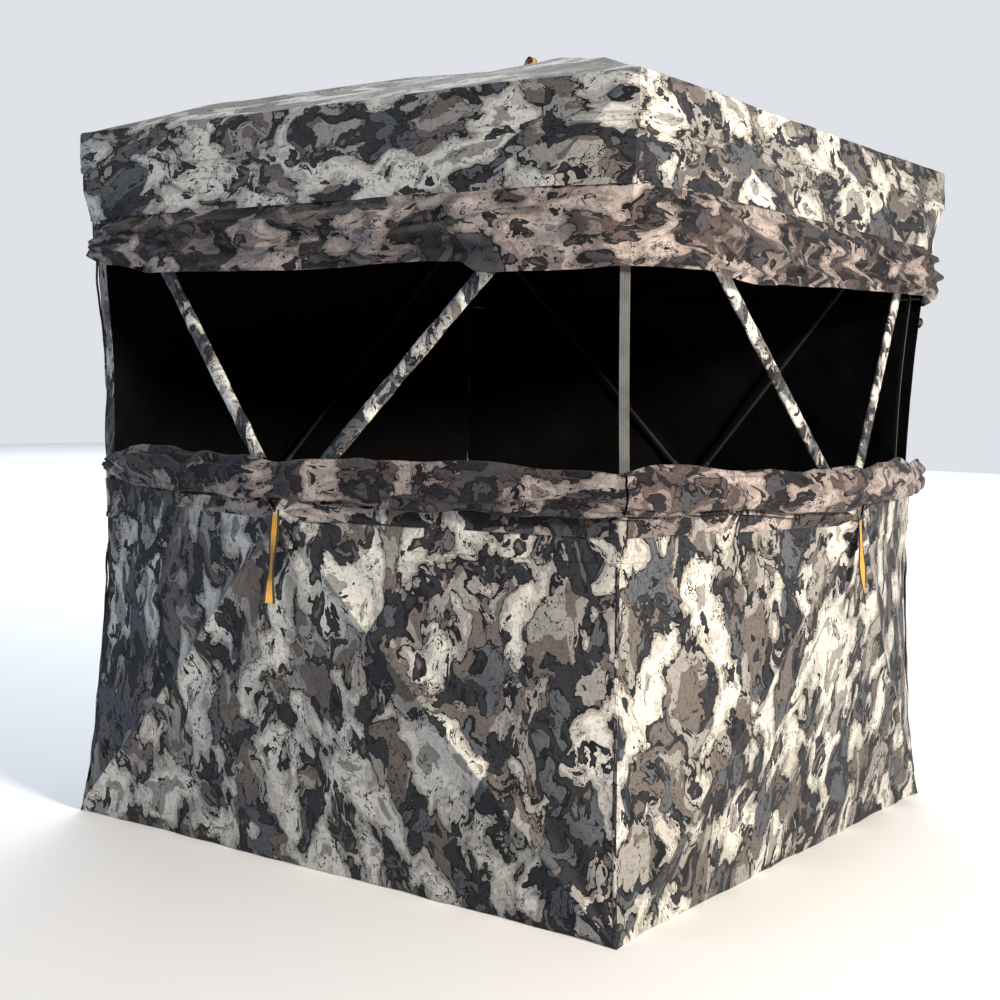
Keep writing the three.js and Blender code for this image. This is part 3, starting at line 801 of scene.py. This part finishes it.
for side in ("front", "right"):
    piece = sheet_piece(f"{side}_bunched_curtain", steps(*ROLL_ENDS[side], 190), steps(0, 1, 84),
                        lambda u, share, side=side: roll_cloth(side, u, share),
                        painted_shade_window_cloth, painted_shade_window_cloth, thickness=THIN_CLOTH)
    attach(piece, f"{side}_curtain")
    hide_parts(f"{side}_curtain_roll")

    # The skirt joins the roll to the wall's top edge.
    skirt = sheet_piece(f"{side}_curtain_skirt", steps(-0.97, 0.97, 60), steps(0, 1, 12),
                        lambda u, share, side=side: wall_point(side, u, SKIRT_LOW + 0.100 * share, 0.0035),
                        painted_shade_window_cloth, black_coat, thickness=THIN_CLOTH)
    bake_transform(skirt)
    print(side, "curtain:", len(piece.data.polygons), "faces in the roll")

# %% [markdown]
# The back window is closed: its curtain is drawn up flat, and a rolled hem holds it under the drape.
# When it comes down, only its hem moves; the panel stays in place.

# %% Back curtain
BACK_FOOT, BACK_TOP = SILL - 0.02, 1.362
BACK_HEM_Z = 1.300


def back_curtain_cloth(u, z):
    base = wall_point("back", u, z)
    slack = min((1 - abs(u)) / 0.06, 1.0)
    return wall_point("back", u, z, -0.004 + slack * (wrinkle(base) + 0.003 * wander(base, 0.09, 12.0)))


curtain = sheet_piece("back_curtain_cloth", steps(-0.999, 0.999, 90), steps(BACK_FOOT, BACK_TOP, 52),
                      back_curtain_cloth, painted_shade_window_cloth, black_coat, thickness=THIN_CLOTH)
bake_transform(curtain)
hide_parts("back_curtain")


def hem_cloth(u, share):
    angle = math.radians(-120 - 380 * share)
    base = wall_point("back", u, BACK_HEM_Z)
    wide = 1 + 0.25 * wander(Vector((base.x, base.y, share * 0.4)), 0.08, 3.0)
    point = wall_point("back", u, BACK_HEM_Z, max(0.013 + 0.009 * wide * math.cos(angle), 0.004))
    point.z = BACK_HEM_Z + 0.014 * wide * math.sin(angle) + 0.003 * wander(base, 0.3)
    return point


hem = sheet_piece("back_curtain_rolled_hem", steps(-0.965, 0.965, 110), steps(0, 1, 24), hem_cloth,
                  painted_shade_window_cloth, painted_shade_window_cloth, thickness=THIN_CLOTH)
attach(hem, "back_curtain_hem_body")
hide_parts("back_curtain_hem")
print("back curtain: from", BACK_FOOT, "to", BACK_TOP, "with its hem at", BACK_HEM_Z)

# %% [markdown]
# The upper rods cross the open windows inside narrow sleeves of the cover's own cloth. A sleeve is a
# flattened tube with a seam along one edge and small bunched rings, and it turns with its rod.

# %% Rod sleeves
def rod_line(node):
    """The two ends of a straight rod at rest, hub end first, from the node's own points."""
    obj = frame["nodes"][node]
    points = [obj.matrix_world @ v.co for v in obj.data.vertices]
    hub = OUTWARD[node.split("_")[0]] * HUB_OUT + Vector((0, 0, HUB_Z))
    near = min(points, key=lambda p: (p - hub).length)
    far = max(points, key=lambda p: (p - near).length)
    hub_end = [p for p in points if (p - near).length < 0.02]
    return sum(hub_end, Vector()) / len(hub_end), far


SLEEVE_HALF_WIDE = 0.018
SLEEVE_HALF_THICK = 0.0085


def sleeve(node, share_low, share_high):
    start, end = rod_line(node)
    way = (end - start).normalized()
    outward = OUTWARD[node.split("_")[0]]
    across = way.cross(outward).normalized()
    outward = across.cross(way).normalized()

    def place(share_round, share):
        angle = -2 * math.pi * share_round
        middle = start.lerp(end, share)
        bunch = 1 + 0.16 * wander(middle, 0.035, 5.0) + 0.10 * wander(middle, 0.09, 1.0)
        side_way = across * math.cos(angle) * SLEEVE_HALF_WIDE * bunch
        return middle + side_way + outward * math.sin(angle) * SLEEVE_HALF_THICK * (1.2 - 0.2 * bunch)

    # The sleeves get the print with painted light, lighter than the cover around them.
    piece = sheet_piece(f"{node}_sleeve", steps(0, 1, 20), steps(share_low, share_high, 70), place,
                        painted_light_sleeve_cloth, black_coat, thickness=0.0008)
    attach(piece, f"{node}_body")


for side in ("front", "right"):
    for hand in ("left", "right"):
        sleeve(f"{side}_rod_upper_{hand}", 0.10, 0.90)

# %% [markdown]
# Grey ribbed webbing ties the band to the lower walls where two windows meet. Its ribs are real ridges,
# as a flat strap shows its edges and grooves even from a few metres away.

# %% Corner webbing
def corner_webbing(name, turns):
    low, high = SILL - 0.004, DRAPE_TOP - 0.10
    half_width = 0.0105
    bottom = corner_half(low) - 0.022
    top = corner_half(high) - 0.030

    def place(share, z):
        rise = (z - low) / (high - low)
        reach = bottom + (top - bottom) * rise - 0.006 * math.sin(math.pi * rise)
        rib = 0.0009 * abs(math.sin(share * 5 * math.pi))
        across = (2 * share - 1) * half_width + 0.018 * (1 - rise)
        way = Vector((1, 1, 0)).normalized() * across
        out = Vector((1, -1, 0)).normalized() * rib
        return Matrix.Rotation(turns * math.pi / 2, 3, "Z") @ (Vector((reach, -reach, z)) + way + out)

    piece = sheet_piece(f"{name}_corner_webbing", steps(0, 1, 30), steps(low, high, 30), place,
                        grey_webbing, grey_webbing, thickness=WEBBING)
    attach(piece, "root")
    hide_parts(f"{name}_corner_strap")


for name in ("front_right", "back_right"):
    corner_webbing(name, CORNERS[name])
print("corner webbing: 2 straps up to", round(DRAPE_TOP - 0.10, 3))

# %% [markdown]
# Each hub has a pull of amber webbing with a dark woven edge. It hangs from the hub with a lazy twist
# and ends in a folded grip. The roof's pull stands up at the tip and then lies down the far slope.

# %% Pull straps
PULL_WIDTH = 0.025


def colour_edges(piece):
    """The outer quarter of the width, on both sides, takes the dark edge's finish."""
    for polygon in piece.data.polygons:
        column = min(abs(piece.data.uv_layers.active.data[i].uv.x - 0.5) for i in polygon.loop_indices)
        polygon.material_index = 1 if column > 0.25 else 0


def pull(side, route, sideways, name):
    """A flat strap along a route of points, with its width along sideways, turned slowly by a twist."""
    lengths = [0.0]
    for first, second in zip(route, route[1:]):
        lengths.append(lengths[-1] + (second - first).length)

    def at(distance):
        k = next((i for i, end in enumerate(lengths[1:-1]) if distance <= end), len(route) - 2)
        share = (distance - lengths[k]) / (lengths[k + 1] - lengths[k])
        return route[k].lerp(route[k + 1], share), (route[k + 1] - route[k]).normalized()

    def place(share, distance):
        middle, way = at(distance)
        run = distance / lengths[-1]
        twist = 0.0 if side == "roof" else math.radians(38) * math.sin(2.6 * math.pi * run) * run
        normal = sideways.cross(way).normalized()
        across = sideways * math.cos(twist) + normal * math.sin(twist)
        flare = 1.0 + 0.22 * max(0.0, run - 0.85) / 0.15
        rib = 0.0005 * math.sin(share * 9 * math.pi)
        return middle + across * (2 * share - 1) * PULL_WIDTH / 2 * 0.92 * flare + normal * rib

    piece = sheet_piece(name, steps(0, 1, 18), steps(0, lengths[-1], 60)[::-1], place,
                        amber_webbing, dark_edge, thickness=0.0)
    colour_edges(piece)
    apply_modifier(piece, "SOLIDIFY", thickness=WEBBING, offset=0.0)
    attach(piece, f"{side}_hub_set")
    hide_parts(f"{side}_pull_strap")
    print(name, round(lengths[-1], 3), "m long")


for side in SIDES:
    outward = OUTWARD[side]
    route = [outward * (HUB_OUT + out) + Vector((0, 0, HUB_Z + up))
             for up, out in ((0.004, 0.004), (-0.03, 0.006), (-0.10, 0.012), (-0.16, 0.019), (-0.198, 0.021))]
    pull(side, route, outward.cross(Vector((0, 0, 1))).normalized(), f"{side}_pull_webbing")

tip = EAVE + ROOF_RISE
roof_route = [Vector((-x, 0, z)) for x, z in ((0.0, tip - 0.002), (0.001, tip + 0.022), (0.009, tip + 0.029),
                                              (0.018, tip + 0.021), (0.030, roof_height(0.030, 0) + 0.004))]
roof_route += [Vector((-x, 0, roof_height(x, 0) + 0.004)) for x in (0.07, 0.11, 0.15, 0.19)]
pull("roof", roof_route, Vector((0, -1, 0)), "roof_pull_webbing")

# %% [markdown]
# The zip runs along the top of the door flap: a black tape, a row of coil and a metal slider. The
# coil is one small loop repeated along the tape.

# %% Door zip
def tape_place(u, share):
    z = ZIP_Z + (share - 0.5) * 0.026
    return wall_point("left", u, z, 0.0035 + 0.0015 * math.exp(-(((share - 0.5) / 0.14) ** 2)))


tape = sheet_piece("door_zip_tape_cloth", steps(-0.965, -0.085, 80), steps(0, 1, 10), tape_place,
                   zip_tape_cloth, zip_tape_cloth, thickness=0.001)
bend_with_hub(tape, "left", "left", False)
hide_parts("door_zip_tape")

COIL_PITCH = 0.0042
clear_selection()
bpy.ops.mesh.primitive_torus_add(major_radius=0.0026, minor_radius=0.0007, major_segments=10,
                                 minor_segments=6)
coil_loop = bpy.context.active_object
coil_points = [v.co.copy() for v in coil_loop.data.vertices]
coil_faces = [tuple(p.vertices) for p in coil_loop.data.polygons]
bpy.data.objects.remove(coil_loop, do_unlink=True)
first, last = wall_point("left", -0.955, ZIP_Z, 0.0062), wall_point("left", -0.095, ZIP_Z, 0.0062)
way = (last - first).normalized()
along = Matrix((way, Vector((0, 0, 1)).cross(way).normalized(), Vector((0, 0, 1)))).transposed()
lean = along @ Matrix.Rotation(math.radians(90), 3, "Y")
points, faces = [], []
loops = int((last - first).length / COIL_PITCH)
for k in range(loops):
    middle = first.lerp(last, (k + 0.5) / loops)
    faces += [tuple(i + len(points) for i in face) for face in coil_faces]
    points += [middle + lean @ point for point in coil_points]
coil_mesh = bpy.data.meshes.new("door_zip_coil")
coil_mesh.from_pydata(points, [], faces)
coil = bpy.data.objects.new("door_zip_coil", coil_mesh)
bpy.context.collection.objects.link(coil)
coil_mesh.materials.append(zip_tape_cloth)
bend_with_hub(coil, "left", "left", False)
print("zip:", loops, "loops of coil")

# %% [markdown]
# The CAD nodes that stay in sight keep their shape and take real finishes: moulded nylon hubs, glass
# fibre rods, plated wire rings and black pack cloth pockets.

# %% Finishes on the CAD nodes
def finish_node(name, material):
    obj = frame["nodes"][name]
    if not obj.material_slots:
        obj.data.materials.append(material)
    for entry in obj.material_slots:
        entry.link = "OBJECT"
        entry.material = material


for name in frame["nodes"]:
    if name.endswith("_hub"):
        finish_node(name, hub_nylon)
    elif "_rod_" in name:
        finish_node(name, rod_glass)
    elif name.endswith("_pivot_ring") or name == "door_zip_slider":
        finish_node(name, zinc_wire)
    elif name.endswith("_pocket"):
        finish_node(name, pack_cloth)
print("finished nodes:", sum(bool(obj.material_slots) for obj in frame["nodes"].values()))

# %% [markdown]
# A pale floor that runs out of sight, a large soft key from the right with a little warmth, as late
# sun has, and a broad cool fill from the left. The key is high and wide, so the facets beside the near
# corner catch it and the front's far end falls into soft shade.

# %% Floor and light
clear_selection()
bpy.ops.mesh.primitive_plane_add(size=44, location=(0, 0, -0.001))
floor = bpy.context.active_object
floor.name = "studio_floor"
floor_material, _, _, surface = start_material("pale_floor")
surface.inputs["Base Color"].default_value = (0.86, 0.86, 0.86, 1)
surface.inputs["Roughness"].default_value = 0.9
floor.data.materials.append(floor_material)


def area_light(name, place, target, size, watts, colour):
    data = bpy.data.lights.new(name, "AREA")
    data.size = size
    data.energy = watts
    data.color = colour
    light = bpy.data.objects.new(name, data)
    bpy.context.collection.objects.link(light)
    light.location = place
    light.rotation_euler = (Vector(target) - Vector(place)).to_track_quat("-Z", "Y").to_euler()


area_light("key", (6.2, -2.0, 2.6), (0, -0.2, 0.8), 0.8, 780, (1.0, 0.89, 0.75))
area_light("fill", (-3.2, -5.6, 2.6), (0, 0, 0.9), 3.0, 80, (0.62, 0.79, 1.0))
area_light("back", (-3.0, 4.5, 5.0), (0, 0, 1.2), 3.0, 170, (0.90, 0.95, 1.0))

# The studio is paler behind the blind than in front of it, like a room with one bright wall.
area_light("far_floor", (-8.0, 12.0, 11.0), (-9.0, 14.0, 0), 16.0, 3400, (0.96, 0.98, 1.0))

world = bpy.data.worlds.new("studio")
world.use_nodes = True
tree = world.node_tree
direction = tree.nodes.new("ShaderNodeTexCoord")
toward = tree.nodes.new("ShaderNodeVectorMath")
toward.operation = "DOT_PRODUCT"
toward.inputs[1].default_value = (-math.sin(HEADING), math.cos(HEADING), 0.0)
tree.links.new(direction.outputs["Generated"], toward.inputs[0])
pale = tree.nodes.new("ShaderNodeValToRGB")
pale.color_ramp.elements[0].position = 0.45
pale.color_ramp.elements[0].color = (0.145, 0.180, 0.240, 1)
pale.color_ramp.elements[1].position = 0.90
pale.color_ramp.elements[1].color = (0.74, 0.76, 0.80, 1)
tree.links.new(toward.outputs["Value"], pale.inputs["Fac"])
tree.links.new(pale.outputs["Color"], tree.nodes["Background"].inputs["Color"])
tree.nodes["Background"].inputs["Strength"].default_value = 1.0
bpy.context.scene.world = world
bpy.context.scene.view_settings.view_transform = "Standard"
